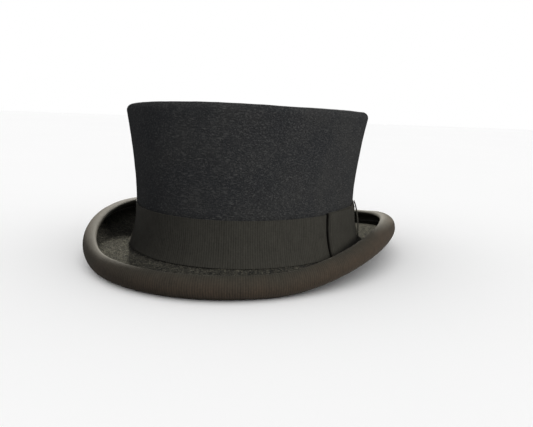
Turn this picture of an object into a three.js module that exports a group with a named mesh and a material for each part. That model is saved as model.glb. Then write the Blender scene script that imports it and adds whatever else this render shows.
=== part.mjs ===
// A black wool-felt top hat with a waisted crown, a wide ribbon band with a flat side bow,
// and a brim whose edge is rolled up all round and bound with ribbon. The inside has a
// reeded leather sweatband and a satin lining.
//
// Millimetres, +Z up. The hat stands on the front and back of its brim at Z = 0. The wearer
// looks along -Y, so +X is the wearer's left, where the bow is.
//
// Every piece follows the oval of the crown's waist. A point is given by three numbers: the
// angle t round the oval, the distance d outwards from the felt's face at the waist, and z.
import * as THREE from "three";

// ---- Driving dimensions -------------------------------------------------------------

const WAIST_HALF_WIDTH = 87.2;
const WAIST_HALF_LENGTH = 105.6;
const FELT = 2.4;
const RIBBON = 0.6;
const GAP = 0.3; // left between pieces that touch
const STEPS_ROUND = 48;
const DEG = Math.PI / 180;

const crown = {
  waistHeight: 40.2,
  topHeight: 114.4, // at the sides; front and back stand higher
  topRise: 3.6,
  tipCentreHeight: 115.6,
  sideFlare: 10.2,
  endFlare: 3.5,
  flarePower: 1.6,
  edgeRadius: 4.8,
  footFlare: 5.5,
  footPower: 2.6,
  footHeight: 8.7, // where the band ends
  cornerHeight: 5.8, // where the wall's line and the brim's line meet
  cornerReach: 3.5, // how far the bend between them runs along each
};

const roll = {
  halfWidth: 115.5, // of the oval on which the roll's centre lies
  halfLength: 150.2,
  radius: 7.8, // outside the binding
  restAngle: 8 * DEG, // half of the flat on which the brim rests
  sideRise: 14.8,
  riseStart: 0.5, // the brim is level up to this share of halfWidth
  risePower: 1.75,
  endEdgeAngle: 76 * DEG, // where the brim's edge stands on the roll, from outwards
  sideEdgeAngle: 117.5 * DEG,
};

const binding = {
  outerSpan: 174 * DEG,
  innerSpan: 150 * DEG,
  seamAngle: 58 * DEG,
  seam: 0.6,
};

const bow = {
  centre: 8 * DEG,
  bottom: 11,
  height: 30.6,
  gather: 2, // that the knot takes off the loops' height above and below
  loopLength: 70,
  riseLength: 26,
  loopDepth: 2.6,
  endGap: 1, // between the knot's centre line and a loop's end
  knotWidth: 9,
  knotDepth: 3.7,
};

const sweat = {
  thickness: 1,
  offset: -3.9, // of the leather's outer face from the felt's outer face
  bottom: 6.6,
  top: 56,
  seam: 1,
};

const reed = { radius: 1, d: 1.2, z: 4.4, wallTop: 8.6, ends: 1.2 };
const tape = { thickness: 0.4 };
const leatherThread = { radius: 0.3, z: 8.6, ends: 2 };
const ribbonThread = { radius: 0.25, angle: 138 * DEG, ends: 2, clearance: 0.7 };
const jointTape = { halfWidth: 6, bottom: 9.6, top: 42 };
const lining = { thickness: 0.4, bottom: 45, offset: -0.4, tipDrop: 3, sideDrop: 9 };
const seamCord = { radius: 0.9, drop: 7.4, offset: -1.6, ends: 1 };
const smallBow = {
  z: 14,
  height: 6,
  gather: 0.5,
  loopLength: 13,
  riseLength: 5,
  loopDepth: 1.4,
  endGap: 0.5,
  knotWidth: 4,
  knotDepth: 2.2,
};

const BACK = 90 * DEG; // the angle t of the hat's back

// ---- The oval and the surfaces ------------------------------------------------------

const mix = (a, b, share) => a + (b - a) * share;

/** A point at angle t, d outwards from the waist's oval, scaled towards the axis by shrink. */
function place(t, d, z, shrink = 1) {
  const x = WAIST_HALF_WIDTH * Math.cos(t);
  const y = WAIST_HALF_LENGTH * Math.sin(t);
  const normal = new THREE.Vector2(
    WAIST_HALF_LENGTH * Math.cos(t),
    WAIST_HALF_WIDTH * Math.sin(t),
  ).normalize();
  return new THREE.Vector3((x + normal.x * d) * shrink, (y + normal.y * d) * shrink, z);
}

/** Millimetres of the waist's oval for each radian of t. */
function arcRate(t) {
  return Math.hypot(WAIST_HALF_WIDTH * Math.sin(t), WAIST_HALF_LENGTH * Math.cos(t));
}

const topHeight = (t) => crown.topHeight + crown.topRise * Math.sin(t) ** 2;
const flareAt = (t) => mix(crown.sideFlare, crown.endFlare, Math.sin(t) ** 2);

/** How far the felt's outer face stands out from the waist at height z. */
function wallOut(t, z) {
  if (z > crown.waistHeight) {
    const share = (z - crown.waistHeight) / (topHeight(t) - crown.waistHeight);
    return flareAt(t) * share ** crown.flarePower;
  }
  const share = (crown.waistHeight - z) / (crown.waistHeight - crown.footHeight);
  return crown.footFlare * share ** crown.footPower;
}

/** The roll's centre in the upright plane at t, and the angle at which the brim's edge stands on it. */
function rollAt(t) {
  const start = place(t, 0, 0);
  const way = place(t, 1, 0).sub(start);
  const a = (way.x / roll.halfWidth) ** 2 + (way.y / roll.halfLength) ** 2;
  const b = (start.x * way.x) / roll.halfWidth ** 2 + (start.y * way.y) / roll.halfLength ** 2;
  const c = (start.x / roll.halfWidth) ** 2 + (start.y / roll.halfLength) ** 2 - 1;
  const d = (-b + Math.sqrt(b * b - a * c)) / a;
  const sideways = Math.abs(start.x + way.x * d) / roll.halfWidth;
  const rise = Math.max(0, (sideways - roll.riseStart) / (1 - roll.riseStart)) ** roll.risePower;
  const z = roll.radius * Math.cos(roll.restAngle) + roll.sideRise * rise;
  return { d, z, edge: mix(roll.endEdgeAngle, roll.sideEdgeAngle, rise) };
}

const onRoll = (centre, radius, angle) => ({
  d: centre.d + radius * Math.cos(angle),
  z: centre.z + radius * Math.sin(angle),
});

const steps = (count, make) => Array.from({ length: count + 1 }, (_, i) => make(i / count));

/** The felt's upper face in the plane at t, from the tip's centre to the brim's edge. */
function feltFace(t) {
  const top = topHeight(t);
  const lean = Math.atan((flareAt(t) * crown.flarePower) / (top - crown.waistHeight));
  const edge = { z: top - crown.edgeRadius };
  edge.d = wallOut(t, edge.z - crown.edgeRadius * Math.sin(lean)) - crown.edgeRadius * Math.cos(lean);
  const tip = [0, 0.4, 0.8].map((shrink) => ({
    shrink,
    d: edge.d,
    z: mix(crown.tipCentreHeight, top, shrink ** 2),
  }));
  const brow = steps(3, (share) =>
    onRoll(edge, crown.edgeRadius, mix(90 * DEG, -lean, share)),
  );
  const wall = steps(4, (share) => mix(edge.z - crown.edgeRadius, crown.waistHeight, share));
  const foot = steps(3, (share) => mix(crown.waistHeight, crown.footHeight, share)).slice(1);
  const side = [...wall, ...foot].map((z) => ({ d: wallOut(t, z), z }));

  const centre = rollAt(t);
  const inside = roll.radius - RIBBON - GAP - FELT;
  const corner = new THREE.Vector2(wallOut(t, crown.cornerHeight), crown.cornerHeight);
  const toCentre = new THREE.Vector2(centre.d, centre.z).sub(corner);
  const slope = toCentre.angle() - (toCentre.angle() > Math.PI ? 2 * Math.PI : 0)
    - Math.asin(inside / toCentre.length());
  const bend = new THREE.QuadraticBezierCurve(
    new THREE.Vector2(wallOut(t, crown.footHeight - 0.2), crown.footHeight - 0.2),
    corner,
    new THREE.Vector2(Math.cos(slope), Math.sin(slope)).multiplyScalar(crown.cornerReach).add(corner),
  );
  const floor = bend.getPoints(3).map((p) => ({ d: p.x, z: p.y }));
  const curl = steps(8, (share) =>
    onRoll(centre, inside, mix(slope - 90 * DEG, centre.edge, share)),
  );
  return [...tip, ...brow, ...side, ...floor, ...curl].map((p) => ({ shrink: 1, ...p }));
}

/** The line that keeps a distance from the felt's upper face, on the face's under side. */
function offsetLine(line, distance) {
  return line.map((p, i) => {
    const before = line[Math.max(0, i - 1)];
    const after = line[Math.min(line.length - 1, i + 1)];
    const way = new THREE.Vector2(
      after.d * after.shrink - before.d * before.shrink,
      after.z - before.z,
    );
    const flat = p.shrink < 1 || way.lengthSq() === 0;
    const side = flat ? new THREE.Vector2(0, -1) : new THREE.Vector2(way.y, -way.x).normalize();
    return { ...p, d: p.d + side.x * distance, z: p.z + side.y * distance };
  });
}

// ---- Solids -------------------------------------------------------------------------

/**
 * A closed solid between two sheets of points with the same rows and columns. Each sheet is a
 * list of rows; wrapRows joins the last row to the first. A column whose points all meet
 * needs no edge.
 */
function slab(front, back, wrapRows) {
  const rows = front.length;
  const columns = front[0].length;
  const positions = [...front.flat(), ...back.flat()].flatMap((p) => [p.x, p.y, p.z]);
  const index = [];
  const at = (sheet, row, column) => (sheet * rows + (row % rows)) * columns + column;
  const quad = (a, b, c, d) => index.push(a, b, c, a, c, d);
  const spans = wrapRows ? rows : rows - 1;
  for (let i = 0; i < spans; i++) {
    for (let j = 0; j < columns - 1; j++) {
      quad(at(0, i, j), at(0, i, j + 1), at(0, i + 1, j + 1), at(0, i + 1, j));
      quad(at(1, i, j), at(1, i + 1, j), at(1, i + 1, j + 1), at(1, i, j + 1));
    }
    const last = columns - 1;
    quad(at(0, i, 0), at(0, i + 1, 0), at(1, i + 1, 0), at(1, i, 0));
    quad(at(0, i, last), at(1, i, last), at(1, i + 1, last), at(0, i + 1, last));
  }
  for (let j = 0; !wrapRows && j < columns - 1; j++) {
    const last = rows - 1;
    quad(at(0, 0, j), at(1, 0, j), at(1, 0, j + 1), at(0, 0, j + 1));
    quad(at(0, last, j), at(0, last, j + 1), at(1, last, j + 1), at(1, last, j));
  }
  const geometry = new THREE.BufferGeometry();
  geometry.setAttribute("position", new THREE.Float32BufferAttribute(positions, 3));
  geometry.setIndex(index);
  geometry.computeVertexNormals();
  return geometry;
}

const placeLine = (t, line) => line.map((p) => place(t, p.d, p.z, p.shrink));

/** The angles of a whole turn, from the back round to the back. */
const wholeTurn = Array.from(
  { length: STEPS_ROUND },
  (_, i) => BACK + (2 * Math.PI * i) / STEPS_ROUND,
);

/** The angles of a strip round the hat whose two ends meet at seamAngle, gap millimetres apart. */
function openTurn(seamAngle, gap) {
  const half = gap / 2 / arcRate(seamAngle);
  const inner = wholeTurn
    .map((t) => seamAngle + THREE.MathUtils.euclideanModulo(t - seamAngle, 2 * Math.PI))
    .filter((t) => t > seamAngle + 2 * half && t < seamAngle + 2 * Math.PI - 2 * half)
    .sort((a, b) => a - b);
  return [seamAngle + half, ...inner, seamAngle + 2 * Math.PI - half];
}

/** A strip round the hat: faces(t) gives its outer and inner lines, from the top down. */
function ring(angles, faces, closed) {
  const lines = angles.map((t) => ({ t, ...faces(t) }));
  const outer = lines.map(({ t, outer: line }) => placeLine(t, line));
  const inner = lines.map(({ t, inner: line }) => placeLine(t, line));
  return slab(outer, inner, closed);
}

/** A strip that follows the wall from one height to another, out from it by near to far. */
function wallStrip(t, from, to, count, near, far) {
  const heights = steps(count, (share) => mix(to, from, share));
  const line = (out) => heights.map((z) => ({ d: wallOut(t, z) + out, z }));
  return { outer: line(far), inner: line(near) };
}

const group = new THREE.Group();

function add(name, geometry, color, roughness) {
  const material = new THREE.MeshStandardMaterial({ color, roughness, metalness: 0 });
  const mesh = new THREE.Mesh(geometry, material);
  mesh.name = name;
  group.add(mesh);
}

const FELT_COLOR = 0x1a1a1b;
const RIBBON_COLOR = 0x24231f;
const LEATHER_COLOR = 0x3a241a;
const SATIN_COLOR = 0x2a2a30;
const TAPE_COLOR = 0x161616;
const REED_COLOR = 0xcfc8b8;

// ---- Felt body, binding and band ----------------------------------------------------

function feltBody() {
  return ring(
    wholeTurn,
    (t) => {
      const outer = feltFace(t);
      return { outer, inner: offsetLine(outer, FELT) };
    },
    true,
  );
}

/** The ribbon folded over the brim's edge: up the outside of the roll and down its inside. */
function brimBinding() {
  const outside = roll.radius - RIBBON;
  const inside = outside - GAP - FELT - GAP;
  const middle = (outside + inside) / 2;
  const faces = (t) => {
    const centre = rollAt(t);
    const { edge } = centre;
    const start = edge - binding.outerSpan;
    const rest = start + 2 * roll.restAngle;
    const outward = [start, ...steps(6, (share) => mix(rest, edge, share))];
    const inward = steps(4, (share) => mix(edge, edge - binding.innerSpan, share));
    const fold = onRoll(centre, middle, edge);
    const bend = (reach, angle) => ({
      d: fold.d + reach * Math.cos(edge + angle),
      z: fold.z + reach * Math.sin(edge + angle),
    });
    const line = (out, back, reach) => [
      ...outward.map((angle) => onRoll(centre, out, angle)),
      ...[45 * DEG, 90 * DEG, 135 * DEG].map((angle) => bend(reach, angle)),
      ...inward.map((angle) => onRoll(centre, back, angle)),
    ];
    return {
      outer: line(outside + RIBBON, inside - RIBBON, outside + RIBBON - middle),
      inner: line(outside, inside, outside - middle),
    };
  };
  const flip = (t) => {
    const { outer, inner } = faces(t);
    return { outer: outer.reverse(), inner: inner.reverse() };
  };
  return ring(openTurn(binding.seamAngle, binding.seam), flip, false);
}

function hatBand() {
  return ring(
    openTurn(bow.centre, 1),
    (t) => wallStrip(t, crown.footHeight, crown.waistHeight, 4, GAP, GAP + RIBBON),
    false,
  );
}

// ---- Bows ---------------------------------------------------------------------------

/**
 * A ribbon loop that lies against a wall: it leaves the knot, folds back at its far end and
 * returns further from the wall. side is 1 towards the back and -1 towards the front; toward
 * is 1 on the outside of the hat and -1 on the inside. base(t, z) is the face it lies on.
 */
function loop(shape) {
  const { centre, z, height, gather, width, length, riseLength, depth, endGap, ribbon } = shape;
  const { side, toward, base } = shape;
  const radius = depth / 2;
  const rise = (s) => {
    const share = (s - width / 2) / riseLength;
    return Math.sin(Math.min(1, Math.max(0, share)) * 90 * DEG) ** 2;
  };
  const run = (share) => mix(endGap, length - radius, share);
  const path = [
    ...steps(8, (share) => new THREE.Vector2(run(share ** 1.8), 0)),
    ...steps(4, (share) => {
      const angle = mix(-90, 90, share) * DEG;
      return new THREE.Vector2(length - radius + radius * Math.cos(angle), radius * (1 + Math.sin(angle)));
    }).slice(1, -1),
    ...steps(8, (share) => {
      const s = run((1 - share) ** 1.8);
      return new THREE.Vector2(s, mix(ribbon + GAP, depth, rise(s)));
    }),
  ];
  const face = (shift) =>
    path.map((p, i) => {
      const way = new THREE.Vector2().subVectors(
        path[Math.min(i + 1, path.length - 1)],
        path[Math.max(i - 1, 0)],
      );
      way.setLength(shift);
      const out = GAP + ribbon / 2 + p.y - way.x;
      const t = centre + (side * (p.x + way.y)) / arcRate(centre);
      const gathered = gather * (1 - rise(p.x));
      const heights = steps(2, (share) => mix(z + gathered, z + height - gathered, share));
      return heights.map((level) => place(t, base(t, level) + toward * out, level));
    });
  const near = face(ribbon / 2);
  const far = face(-ribbon / 2);
  return side * toward > 0 ? slab(near, far, false) : slab(far, near, false);
}

/** The strip that wraps the middle of a bow, from the wall above it to the wall below it. */
function knot({ centre, z, height, gather, width, depth, toward, base, ribbon }) {
  const top = z + height - gather + GAP + ribbon;
  const low = z + gather - GAP - ribbon;
  const path = [
    [top, 0],
    [top, depth * 0.88],
    [mix(low, top, 0.78), depth + 0.1],
    [mix(low, top, 0.5), depth + 0.3],
    [mix(low, top, 0.22), depth + 0.1],
    [low, depth * 0.88],
    [low, 0],
  ];
  const inward = (level) => level + (level > (top + low) / 2 ? -ribbon : ribbon);
  const sheet = (inside) =>
    steps(3, (share) => {
      const t = centre + mix(-width / 2, width / 2, share) / arcRate(centre);
      return path.map(([level, out], i) => {
        const foot = i === 0 || i === path.length - 1;
        const end = i < 2 || i > path.length - 3;
        const reach = inside && !foot ? out - ribbon : out;
        return place(t, base(t, level) + toward * (GAP + reach), inside && end ? inward(level) : level);
      });
    });
  return toward > 0 ? slab(sheet(false), sheet(true), false) : slab(sheet(true), sheet(false), false);
}

const bandFace = (t, z) => wallOut(t, z) + GAP + RIBBON;
const sideBow = {
  centre: bow.centre,
  z: bow.bottom,
  height: bow.height,
  gather: bow.gather,
  width: bow.knotWidth,
  length: bow.loopLength,
  riseLength: bow.riseLength,
  depth: bow.loopDepth,
  endGap: bow.endGap,
  toward: 1,
  base: bandFace,
  ribbon: RIBBON,
};

const leatherFace = (t, z) => sweatOut(t, z) - sweat.thickness;
const backBow = {
  centre: BACK,
  z: smallBow.z,
  height: smallBow.height,
  gather: smallBow.gather,
  width: smallBow.knotWidth,
  length: smallBow.loopLength,
  riseLength: smallBow.riseLength,
  depth: smallBow.loopDepth,
  endGap: smallBow.endGap,
  toward: -1,
  base: leatherFace,
  ribbon: tape.thickness,
};

// ---- Sweatband and lining -----------------------------------------------------------

/** The sweatband's outer face: it flares with the crown's foot, and is upright above and below it. */
function sweatOut(t, z) {
  const level = Math.min(Math.max(z, crown.footHeight), crown.waistHeight);
  return sweat.offset + wallOut(t, level);
}

function sweatStrip(t, from, to, count, near, far) {
  const heights = steps(count, (share) => mix(to, Math.max(from, crown.footHeight), share));
  if (from < crown.footHeight) heights.push(from);
  const line = (out) => heights.map((z) => ({ d: sweatOut(t, z) + out, z }));
  return { outer: line(far), inner: line(near) };
}

function sweatband() {
  return ring(
    openTurn(BACK, sweat.seam),
    (t) => sweatStrip(t, sweat.bottom, sweat.top, 5, -sweat.thickness, 0),
    false,
  );
}

/** The tape behind the sweatband's seam, which joins the band's two ends. */
function sweatbandJointTape() {
  const half = jointTape.halfWidth / arcRate(BACK);
  const angles = steps(4, (share) => BACK + mix(-half, half, share));
  return ring(
    angles,
    (t) => sweatStrip(t, jointTape.bottom, jointTape.top, 4, GAP, GAP + tape.thickness),
    false,
  );
}

/** A round cord or thread that runs once round the hat; its ends meet at the back. */
function cord({ radius, ends }, centre) {
  const half = ends / 2 / arcRate(BACK);
  const path = new THREE.CatmullRomCurve3(
    steps(STEPS_ROUND, (share) => {
      const t = BACK + mix(half, 2 * Math.PI - half, share);
      const { d, z } = centre(t);
      return place(t, d, z);
    }),
  );
  const section = new THREE.Shape(
    Array.from({ length: 6 }, (_, i) =>
      new THREE.Vector2(radius, 0).rotateAround(new THREE.Vector2(), i * 60 * DEG),
    ),
  );
  return new THREE.ExtrudeGeometry(section, { extrudePath: path, steps: STEPS_ROUND });
}

/** The plastic reed that keeps the sweatband's lower edge round. */
const sweatbandReed = () => cord(reed, () => reed);

/** The thread that holds the leather to the reed's tape, where it lies on the leather. */
function sweatbandThread() {
  const { z, radius } = leatherThread;
  return cord(leatherThread, (t) => ({ d: leatherFace(t, z) - GAP - radius, z }));
}

/** The thread that holds the binding, where it lies inside the roll. */
function bindingThread() {
  const { radius, angle, clearance } = ribbonThread;
  const face = roll.radius - RIBBON - GAP - FELT - GAP - RIBBON;
  return cord(ribbonThread, (t) => {
    const centre = rollAt(t);
    return onRoll(centre, face - clearance - radius, centre.edge - angle);
  });
}

/** The tape folded under the reed, with a flange up behind the leather's lower edge. */
function sweatbandReedTape() {
  const faces = (t) => {
    const line = (radius, legShift) => [
      { d: sweatOut(t, reed.wallTop) + GAP + legShift, z: reed.wallTop },
      ...steps(5, (share) => onRoll(reed, radius, mix(20 * DEG, -200 * DEG, share))),
    ];
    return {
      outer: line(reed.radius + GAP + tape.thickness, tape.thickness),
      inner: line(reed.radius + GAP, 0),
    };
  };
  return ring(openTurn(BACK, 1.2), faces, false);
}

function liningSide() {
  const faces = (t) => {
    const far = lining.offset - FELT;
    return wallStrip(t, lining.bottom, topHeight(t) - lining.sideDrop, 4, far - lining.thickness, far);
  };
  return ring(wholeTurn, faces, true);
}

/** The oval of satin that hangs just under the crown's tip. */
function liningTip() {
  const faces = (t) => {
    const top = topHeight(t);
    const d = wallOut(t, top) - crown.edgeRadius - FELT;
    const line = (drop) =>
      [0, 0.5, 1].map((shrink) => ({
        shrink,
        d,
        z: mix(crown.tipCentreHeight, top, shrink ** 2) - FELT - lining.tipDrop - drop,
      }));
    return { outer: line(0), inner: line(lining.thickness) };
  };
  return ring(wholeTurn, faces, true);
}

/** The covered cord sewn into the seam between the lining's side and its tip. */
function liningSeamCord() {
  return cord(seamCord, (t) => {
    const z = topHeight(t) - seamCord.drop;
    return { d: wallOut(t, z) - FELT + seamCord.offset, z };
  });
}

// ---- The hat ------------------------------------------------------------------------

add("felt_body", feltBody(), FELT_COLOR, 0.95);
add("brim_binding", brimBinding(), RIBBON_COLOR, 0.7);
add("binding_thread", bindingThread(), RIBBON_COLOR, 0.7);
add("hat_band", hatBand(), RIBBON_COLOR, 0.7);
add("bow_front_loop", loop({ ...sideBow, side: -1 }), RIBBON_COLOR, 0.7);
add("bow_rear_loop", loop({ ...sideBow, side: 1 }), RIBBON_COLOR, 0.7);
add("bow_knot", knot({ ...sideBow, depth: bow.knotDepth }), RIBBON_COLOR, 0.7);
add("sweatband", sweatband(), LEATHER_COLOR, 0.55);
add("sweatband_thread", sweatbandThread(), LEATHER_COLOR, 0.7);
add("sweatband_joint_tape", sweatbandJointTape(), TAPE_COLOR, 0.8);
add("sweatband_reed", sweatbandReed(), REED_COLOR, 0.4);
add("sweatband_reed_tape", sweatbandReedTape(), TAPE_COLOR, 0.8);
add("sweatband_bow_left_loop", loop({ ...backBow, side: -1 }), RIBBON_COLOR, 0.6);
add("sweatband_bow_right_loop", loop({ ...backBow, side: 1 }), RIBBON_COLOR, 0.6);
add("sweatband_bow_knot", knot({ ...backBow, depth: smallBow.knotDepth }), RIBBON_COLOR, 0.6);
add("lining_side", liningSide(), SATIN_COLOR, 0.35);
add("lining_tip", liningTip(), SATIN_COLOR, 0.35);
add("lining_seam_cord", liningSeamCord(), SATIN_COLOR, 0.35);

export default group;
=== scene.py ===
"""The looks of a black wool-felt top hat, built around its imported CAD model.

Metres, +Z up, in the CAD's own frame. The wearer looks along -Y, and +X is their left, where the bow
is. As in the CAD, a point is given by the angle t round the oval of the crown's waist, the distance d
outwards from the felt's face there, and z. The arrays here have a row for each t.
"""

import math
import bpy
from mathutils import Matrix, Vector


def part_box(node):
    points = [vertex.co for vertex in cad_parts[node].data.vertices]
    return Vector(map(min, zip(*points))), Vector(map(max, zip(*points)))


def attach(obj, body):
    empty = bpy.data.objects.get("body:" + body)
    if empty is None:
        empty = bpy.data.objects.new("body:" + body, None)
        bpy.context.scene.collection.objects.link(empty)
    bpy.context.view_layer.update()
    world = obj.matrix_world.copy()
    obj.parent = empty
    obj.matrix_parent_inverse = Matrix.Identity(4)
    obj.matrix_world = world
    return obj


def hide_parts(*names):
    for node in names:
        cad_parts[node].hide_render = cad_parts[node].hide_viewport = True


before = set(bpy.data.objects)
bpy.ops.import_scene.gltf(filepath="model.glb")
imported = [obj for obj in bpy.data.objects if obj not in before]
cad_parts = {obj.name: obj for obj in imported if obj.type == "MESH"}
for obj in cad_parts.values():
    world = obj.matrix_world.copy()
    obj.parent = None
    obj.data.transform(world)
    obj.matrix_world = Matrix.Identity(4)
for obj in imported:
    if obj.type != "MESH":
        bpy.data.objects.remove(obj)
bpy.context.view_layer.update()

from types import SimpleNamespace as Sizes

import bmesh
import bpy
import numpy as np
from mathutils import Matrix, Vector

MM = 0.001
DEG = math.pi / 180
BACK = 90 * DEG

# ---- Sizes --------------------------------------------------------------------------

FELT = 2.4 * MM
RIBBON = 0.6 * MM
GAP = 0.3 * MM

band_low, band_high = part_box("hat_band")
felt_low, felt_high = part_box("felt_body")
rim_low, rim_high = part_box("brim_binding")
loop_low, loop_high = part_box("bow_front_loop")
leather_low, leather_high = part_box("sweatband")
joint_low, joint_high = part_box("sweatband_joint_tape")
lining_low, lining_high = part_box("lining_side")

crown = Sizes(
    top_rise=3.6 * MM,
    tip_sag=2.4 * MM,
    side_flare=10.2 * MM,
    end_flare=3.5 * MM,
    flare_power=1.6,
    edge_radius=4.8 * MM,
    foot_flare=5.5 * MM,
    foot_power=2.6,
    waist_height=band_high.z,
    foot_height=band_low.z,
    corner_height=5.8 * MM,
    corner_reach=3.5 * MM,
)
crown.top_height = felt_high.z - crown.top_rise
crown.centre_height = crown.top_height + crown.top_rise - crown.tip_sag
HALF_WIDTH = -band_low.x - crown.foot_flare - GAP - RIBBON
HALF_LENGTH = band_high.y - crown.foot_flare - GAP - RIBBON
felt_lumps = Sizes(broad=0.16 * MM, fine=0.07 * MM)
swelling = Sizes(height=0.65 * MM, rise=1.5 * MM, fade=14 * MM)

roll = Sizes(
    radius=7.8 * MM,
    rest_angle=8 * DEG,
    side_rise=14.8 * MM,
    rise_start=0.5,
    rise_power=1.75,
    end_edge=76 * DEG,
    side_edge=117.5 * DEG,
)
roll.half_width = rim_high.x - roll.radius
roll.half_length = rim_high.y - roll.radius

binding = Sizes(
    outer_span=174 * DEG,
    inner_span=150 * DEG,
    seam_angle=58 * DEG,
    seam=0.6 * MM,
    waves=0.12 * MM,
)
band = Sizes(seam=1 * MM, waves=0.08 * MM, flat_edge=1.2 * MM, selvedge=0.12 * MM, selvedge_in=0.5 * MM)
bow = Sizes(
    centre=8 * DEG,
    bottom=loop_low.z,
    height=loop_high.z - loop_low.z,
    gather=4 * MM,
    length=70 * MM,
    rise_length=26 * MM,
    depth=2.6 * MM,
    puff=0.5 * MM,
    end_gap=1 * MM,
    knot_width=9 * MM,
    knot_depth=3.7 * MM,
    ribbon=0.45 * MM,
)
sweat = Sizes(
    thickness=1 * MM,
    offset=-3.9 * MM,
    bottom=leather_low.z,
    top=leather_high.z,
    seam=1 * MM,
    waves=0.35 * MM,
    lumps=0.12 * MM,
    groove=0.2 * MM,
)
reed = Sizes(radius=1 * MM, d=1.2 * MM, z=4.4 * MM, wall_top=8.6 * MM, seam=1.2 * MM)
TAPE = 0.4 * MM
TAPE_WEAVE = 1.1 * MM
SATIN = 0.4 * MM
leather_thread = Sizes(radius=0.3 * MM, z=8.6 * MM, pitch=3.2 * MM, reach=0.7 * MM)
ribbon_thread = Sizes(radius=0.25 * MM, angle=138 * DEG, clearance=0.7 * MM, pitch=3.6 * MM, share=0.72)
lining = Sizes(bottom=lining_low.z, offset=-0.4 * MM, tip_drop=3 * MM, side_drop=9 * MM)
seam_cord = Sizes(radius=0.9 * MM, drop=7.4 * MM, offset=-1.6 * MM, seam=1 * MM)
small_bow = Sizes(
    centre=BACK,
    bottom=14 * MM,
    height=6 * MM,
    gather=1 * MM,
    length=13 * MM,
    rise_length=5 * MM,
    depth=1.4 * MM,
    puff=0.2 * MM,
    end_gap=0.5 * MM,
    knot_width=4 * MM,
    knot_depth=2 * MM,
    ribbon=0.35 * MM,
)
RIB = 1.6 * MM  # from rib to rib of the ribbon
RIB_DEPTH = 0.09 * MM
SHARP = 40 * DEG
TOUCHING = 0.0001 * MM
THREAD_SIDES = 6
CORD_SIDES = 12
LIGHT_DISTANCE = 2.5

# ---- The oval and the surfaces ------------------------------------------------------


def mix(a, b, share):
    return a + (b - a) * share


def oval(t, d):
    """x and y at angles t, d outwards from the waist's oval."""
    nx, ny = HALF_LENGTH * np.cos(t), HALF_WIDTH * np.sin(t)
    size = np.hypot(nx, ny)
    return HALF_WIDTH * np.cos(t) + nx / size * d, HALF_LENGTH * np.sin(t) + ny / size * d


def place(t, d, z, shrink=1.0):
    """Points with a last axis of x, y, z."""
    t, d, z, shrink = np.broadcast_arrays(t, d, z, shrink)
    x, y = oval(t, d)
    return np.stack([x * shrink, y * shrink, z], -1)


def arc_rate(t):
    """Metres of the waist's oval for each radian of t."""
    return np.hypot(HALF_WIDTH * np.sin(t), HALF_LENGTH * np.cos(t))


def top_height(t):
    """The height of the crown's top edge, which dips at the sides."""
    return crown.top_height + crown.top_rise * np.sin(t) ** 2


def flare_at(t):
    return mix(crown.side_flare, crown.end_flare, np.sin(t) ** 2)


def wall_out(t, z):
    """How far the felt's outer face stands out from the waist at height z."""
    above = np.maximum(0, (z - crown.waist_height) / (top_height(t) - crown.waist_height))
    below = np.maximum(0, (crown.waist_height - z) / (crown.waist_height - crown.foot_height))
    return flare_at(t) * above ** crown.flare_power + crown.foot_flare * below ** crown.foot_power


def roll_at(t):
    """The roll's centre in the upright plane at t, and the angle of the brim's edge on it."""
    x, y = oval(t, 0)
    x1, y1 = oval(t, 1)
    way_x, way_y = x1 - x, y1 - y
    a = (way_x / roll.half_width) ** 2 + (way_y / roll.half_length) ** 2
    b = x * way_x / roll.half_width ** 2 + y * way_y / roll.half_length ** 2
    c = (x / roll.half_width) ** 2 + (y / roll.half_length) ** 2 - 1
    d = (np.sqrt(b * b - a * c) - b) / a
    sideways = np.abs(x + way_x * d) / roll.half_width
    rise = np.maximum(0, (sideways - roll.rise_start) / (1 - roll.rise_start)) ** roll.rise_power
    z = roll.radius * math.cos(roll.rest_angle) + roll.side_rise * rise
    return d, z, mix(roll.end_edge, roll.side_edge, rise)


def on_roll(d, z, radius, angle):
    """The point at an angle on a circle round d, z."""
    return d + radius * np.cos(angle), z + radius * np.sin(angle)


def lumps(u, v, cells, seed):
    """Smooth noise from -1 to 1. u goes round from 0 to 1 without an end, and v runs from 0 to 1."""
    grid = np.random.default_rng(seed).uniform(-1, 1, (cells[0], cells[1] + 2))
    u, v = np.broadcast_arrays(u * cells[0], v * cells[1])
    i, j = np.floor(u).astype(int), np.floor(v).astype(int)
    fu, fv = u - i, v - j
    fu, fv = fu * fu * (3 - 2 * fu), fv * fv * (3 - 2 * fv)
    near = mix(grid[i % cells[0], j], grid[i % cells[0], j + 1], fv)
    far = mix(grid[(i + 1) % cells[0], j], grid[(i + 1) % cells[0], j + 1], fv)
    return mix(near, far, fu)


def angles_round(rows):
    return BACK + 2 * np.pi * np.arange(rows) / rows


def angles_from_seam(gap, rows):
    """Angles round from one side to the other of a gap at the back."""
    half = gap / 2 / arc_rate(BACK)
    return np.linspace(BACK + half, BACK + 2 * np.pi - half, rows)


def share_round(t):
    """How far round t is from the back, from 0 to 1."""
    return (t - BACK) / (2 * np.pi)


def even_angles(first, last, pitch, curve):
    """Angles whose points on curve(t) are about a pitch apart, and their distances along it."""
    fine = np.linspace(first, last, 4000)
    step = np.linalg.norm(np.diff(curve(fine), axis=0), axis=1)
    length = np.concatenate([[0], np.cumsum(step)])
    count = int(round(length[-1] / pitch)) + 1
    along = np.linspace(0, length[-1], count)
    return np.interp(along, length, fine), along


# ---- Meshes -------------------------------------------------------------------------


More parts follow.
